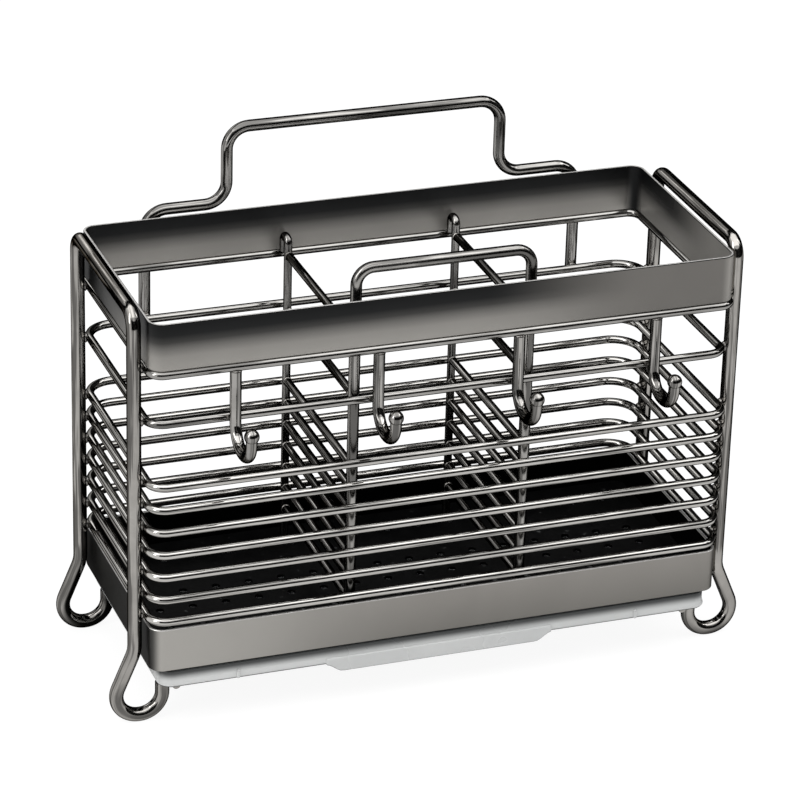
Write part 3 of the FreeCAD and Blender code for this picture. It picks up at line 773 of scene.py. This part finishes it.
floor_white, tree, shader = new_material("studio_floor_white")
tree.nodes.remove(shader)
matt = add_node(tree, "ShaderNodeBsdfDiffuse", {"Color": FLOOR_MATT})
glow = add_node(tree, "ShaderNodeEmission", {"Color": WHITE, "Strength": floor_glow})
blend = add_node(tree, "ShaderNodeMixShader")
white_share = span(tree, seen_directly(tree), 0.0, 1.0, 0.0, floor_white_share, smooth=False)
tree.links.new(white_share, blend.inputs["Fac"])
tree.links.new(matt.outputs["BSDF"], blend.inputs[1])
tree.links.new(glow.outputs["Emission"], blend.inputs[2])
tree.links.new(blend.outputs["Shader"], tree.nodes["Material Output"].inputs["Surface"])
studio_floor.data.materials.append(floor_white)

world = bpy.data.worlds.new("white_surroundings")
world.use_nodes = True
tree = world.node_tree
room_colour = mix_colours(tree, seen_directly(tree), ROOM_GREY, WHITE)
tree.links.new(room_colour, tree.nodes["Background"].inputs["Color"])
bpy.context.scene.world = world

CLOTH_BLACK = (0.008, 0.008, 0.008, 1)
CLOTH_WORN = (0.02, 0.02, 0.02, 1)
weave_marks = (60.0, 60.0, 60.0)
flag_facets = 64
curtain_radius = 1.1
curtains = [("front_curtain", 0.85, Vector((-1.0, 0.0, 0.0)), 0.8),
            ("back_curtain", 1.9, Vector((-0.49, -0.872, 0.0)), 0.012)]
card_radius = 0.45
card_lift = 0.0004
card_left_edge = ((-0.98, -0.2, 0.0), 0.122, 0.098)
card_front_edge = ((0.0, -1.0, 0.0), 0.05, 0.012)


def flag_black(name):
    """Matt black cloth."""
    material, tree, shader = new_material(name)
    cloth = mix_colours(tree, add_marks(tree, weave_marks), CLOTH_BLACK, CLOTH_WORN)
    tree.links.new(cloth, shader.inputs["Base Color"])
    shader.inputs["Roughness"].default_value = 1.0
    shader.inputs["Specular IOR Level"].default_value = 0.0
    return material, tree, shader


def hang_flag(name, material):
    """Makes the active object a black flag that only reflections see."""
    flag = bpy.context.active_object
    flag.name = name
    bpy.ops.object.transform_apply(location=True, rotation=True, scale=True)
    flag.visible_camera = False
    flag.visible_diffuse = False
    flag.visible_transmission = False
    flag.visible_shadow = False
    flag.data.materials.append(material)


curtain_black = flag_black("curtain_black")[0]
for name, height, facing, start in curtains:
    bpy.ops.object.select_all(action="DESELECT")
    bpy.ops.mesh.primitive_cylinder_add(vertices=flag_facets, radius=curtain_radius, depth=height,
                                        end_fill_type="NOTHING", location=(0, 0, height / 2))
    hang_flag(name, curtain_black)
    bpy.ops.object.mode_set(mode="EDIT")
    bpy.ops.mesh.select_all(action="SELECT")
    bpy.ops.mesh.bisect(plane_co=facing * start, plane_no=facing, clear_outer=True)
    bpy.ops.object.mode_set(mode="OBJECT")

bpy.ops.object.select_all(action="DESELECT")
bpy.ops.mesh.primitive_circle_add(vertices=flag_facets, radius=card_radius, fill_type="NGON",
                                  location=(0, 0, card_lift))
card_black, tree, shader = flag_black("card_black")
spot = add_node(tree, "ShaderNodeTexCoord").outputs["Object"]
covers = []
for facing, start, end in (card_left_edge, card_front_edge):
    along = add_node(tree, "ShaderNodeVectorMath", operation="DOT_PRODUCT")
    along.inputs[1].default_value = facing
    tree.links.new(spot, along.inputs[0])
    covers.append(span(tree, along.outputs["Value"], start, end))
tree.links.new(both(tree, *covers), shader.inputs["Alpha"])
hang_flag("floor_card", card_black)

light_aim = Vector((0.0, 0.0, 0.09))


def add_softbox(name, spot, width, height, watts):
    """A rectangular light turned towards the middle of the object."""
    data = bpy.data.lights.new(name, "AREA")
    data.shape = "RECTANGLE"
    data.size = width
    data.size_y = height
    data.energy = watts
    lamp = bpy.data.objects.new(name, data)
    lamp.location = spot
    lamp.rotation_mode = "QUATERNION"
    lamp.rotation_quaternion = (Vector(spot) - light_aim).to_track_quat("Z", "Y")
    lamp.visible_camera = False
    bpy.context.scene.collection.objects.link(lamp)


add_softbox("overhead_softbox", (0.0, -0.15, 1.1), width=1.9, height=1.2, watts=13.0)
add_softbox("left_strip", (-1.0, -0.35, 0.75), width=0.25, height=0.9, watts=4.0)
add_softbox("right_strip", (1.0, -0.2, 0.8), width=0.25, height=0.9, watts=2.5)
add_softbox("back_fill", (-0.3, 0.92, 0.5), width=0.95, height=0.66, watts=1.5)
add_softbox("back_strip", (-0.3, 0.88, 0.6), width=0.5, height=0.09, watts=0.3)

# Camera: front left of the basket and above it, with the long lens and slight roll of the photograph.
# It looks at a point near the middle of the basket.
camera_azimuth = math.radians(-20.292)
camera_elevation = math.radians(25.414)
camera_roll = math.radians(1.654)
camera_distance = 1.3714
camera_lens = 174.8
camera_sensor = 36.0
camera_clip = 0.05
camera_aim = Vector((0.00038, 0.01214, 0.08954))
backwards = Vector((math.sin(camera_azimuth) * math.cos(camera_elevation),
                    -math.cos(camera_azimuth) * math.cos(camera_elevation),
                    math.sin(camera_elevation)))
camera_data = bpy.data.cameras.new("photo_camera")
camera_data.lens = camera_lens
camera_data.sensor_width = camera_sensor
camera_data.clip_start = camera_clip
camera = bpy.data.objects.new("photo_camera", camera_data)
camera.location = camera_aim + backwards * camera_distance
camera.rotation_mode = "QUATERNION"
camera.rotation_quaternion = Quaternion(backwards, camera_roll) @ backwards.to_track_quat("Z", "Y")
bpy.context.scene.collection.objects.link(camera)
bpy.context.scene.camera = camera
bpy.context.scene.view_settings.view_transform = "Standard"
